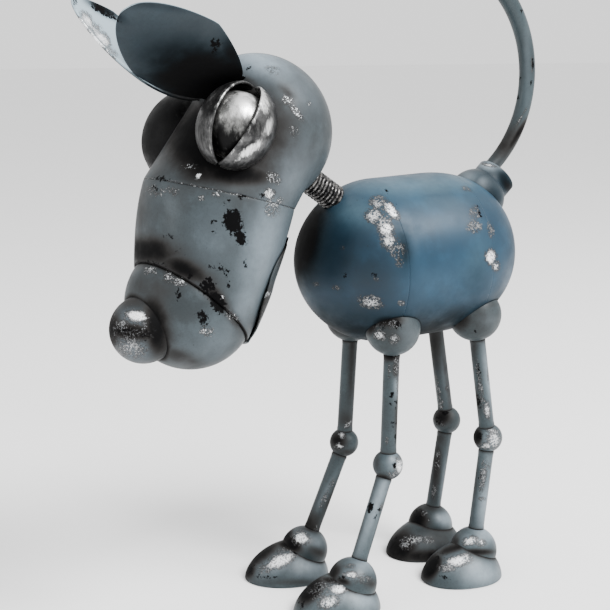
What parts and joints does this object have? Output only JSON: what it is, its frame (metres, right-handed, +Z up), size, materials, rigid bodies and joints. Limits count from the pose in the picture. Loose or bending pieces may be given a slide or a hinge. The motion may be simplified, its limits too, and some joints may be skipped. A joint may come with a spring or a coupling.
{
  "type": "scrap metal dog sculpture",
  "caption": "Scrap metal dog sculpture: domed sheet body, long hanging head on a coil spring neck, leaf ears, lidded ball eyes, thin rod legs with ball knees, curved rod tail.",
  "frame": {"origin": "on the ground under the middle of the bounding box", "axes": "+Z up, -Y the way the dog faces, +X the dog's own left"},
  "size_m": [0.172, 0.427, 0.5263],
  "materials": {
    "body_paint": "satin steel-blue paint, darker toward the belly, worn through to bright metal in patches",
    "head_paint": "satin blue-grey paint shaded to black round the eyes and seams, with flaked and polished patches",
    "leg_paint": "satin slate-grey paint over steel, rubbed bright on the toes, ankles and knees",
    "ear_paint": "dark slate paint fading to black at the root, pale worn grey on the inner face",
    "polished_steel": "polished steel, lightly scratched",
    "worn_steel": "worn bare steel with dark streaks and bright rims",
    "spring_steel": "oiled black spring steel"
  },
  "bodies": {
    "root": {"body_front_dome": "body_paint", "body_middle_band": "body_paint", "body_rear_dome": "body_paint", "tail_socket_dome": "body_paint", "tail_cup": "body_paint", "skull": "head_paint", "muzzle": "head_paint", "snout_dome": "head_paint", "nose_ball": "head_paint", "lower_jaw": "head_paint", "hip_front_left": "leg_paint", "knee_front_left": "leg_paint", "ankle_front_left": "leg_paint", "foot_front_left": "leg_paint", "upper_leg_front_left": "leg_paint", "lower_leg_front_left": "leg_paint", "hip_front_right": "leg_paint", "knee_front_right": "leg_paint", "ankle_front_right": "leg_paint", "foot_front_right": "leg_paint", "upper_leg_front_right": "leg_paint", "lower_leg_front_right": "leg_paint", "hip_rear_left": "leg_paint", "knee_rear_left": "leg_paint", "ankle_rear_left": "leg_paint", "foot_rear_left": "leg_paint", "upper_leg_rear_left": "leg_paint", "lower_leg_rear_left": "leg_paint", "hip_rear_right": "leg_paint", "knee_rear_right": "leg_paint", "ankle_rear_right": "leg_paint", "foot_rear_right": "leg_paint", "upper_leg_rear_right": "leg_paint", "lower_leg_rear_right": "leg_paint", "tail": "leg_paint", "eyeball_left": "polished_steel", "eyelid_front_left": "worn_steel", "eyelid_rear_left": "worn_steel", "ear_left": "ear_paint", "eyeball_right": "polished_steel", "eyelid_front_right": "worn_steel", "eyelid_rear_right": "worn_steel", "ear_right": "ear_paint", "neck_spring": "spring_steel"}
  },
  "joints": []
}
